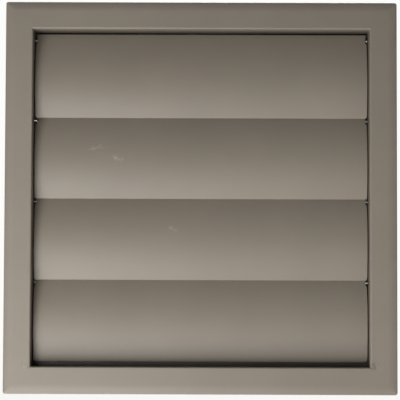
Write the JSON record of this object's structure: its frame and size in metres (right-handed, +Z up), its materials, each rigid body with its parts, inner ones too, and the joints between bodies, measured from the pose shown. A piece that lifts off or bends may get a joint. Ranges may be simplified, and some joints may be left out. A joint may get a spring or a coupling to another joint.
{
  "type": "wall vent",
  "caption": "Square wall vent with hinged, outward-curved gravity flaps in a rounded bezel frame, and a round duct spigot behind.",
  "frame": {"origin": "on the wall plane, where the duct axis meets it, at the centre of the rear plate's back face", "axes": "+X to the right across the face, +Y into the wall along the duct, +Z up; the face looks along -Y"},
  "size_m": [0.186, 0.062, 0.186],
  "materials": {
    "vent_plastic": "satin moulded plastic, grey-brown",
    "flap_plastic": "satin moulded plastic, grey-brown",
    "pin_steel": "bright drawn steel",
    "screw_steel": "zinc-plated steel"
  },
  "bodies": {
    "vent_body": {"front_frame": "vent_plastic", "rear_spigot": "vent_plastic", "corner_screw_top_left": "screw_steel", "corner_screw_top_right": "screw_steel", "corner_screw_bottom_left": "screw_steel", "corner_screw_bottom_right": "screw_steel"},
    "flap_1_body": {"flap_1": "flap_plastic", "pivot_pin_1_left": "pin_steel", "pivot_pin_1_right": "pin_steel"},
    "flap_2_body": {"flap_2": "flap_plastic", "pivot_pin_2_left": "pin_steel", "pivot_pin_2_right": "pin_steel"},
    "flap_3_body": {"flap_3": "flap_plastic", "pivot_pin_3_left": "pin_steel", "pivot_pin_3_right": "pin_steel"},
    "flap_4_body": {"flap_4": "flap_plastic", "pivot_pin_4_left": "pin_steel", "pivot_pin_4_right": "pin_steel"}
  },
  "joints": [
    {"name": "flap_1_swing", "type": "hinge", "parent": "vent_body", "child": "flap_1_body", "pos_m": [0, -0.0089, 0.0763], "axis": [-1, 0, 0], "range_deg": [0, 55]},
    {"name": "flap_2_swing", "type": "hinge", "parent": "vent_body", "child": "flap_2_body", "pos_m": [0, -0.0089, 0.03745], "axis": [-1, 0, 0], "range_deg": [0, 55]},
    {"name": "flap_3_swing", "type": "hinge", "parent": "vent_body", "child": "flap_3_body", "pos_m": [0, -0.0089, -0.0014], "axis": [-1, 0, 0], "range_deg": [0, 55]},
    {"name": "flap_4_swing", "type": "hinge", "parent": "vent_body", "child": "flap_4_body", "pos_m": [0, -0.0089, -0.04025], "axis": [-1, 0, 0], "range_deg": [0, 55]}
  ]
}
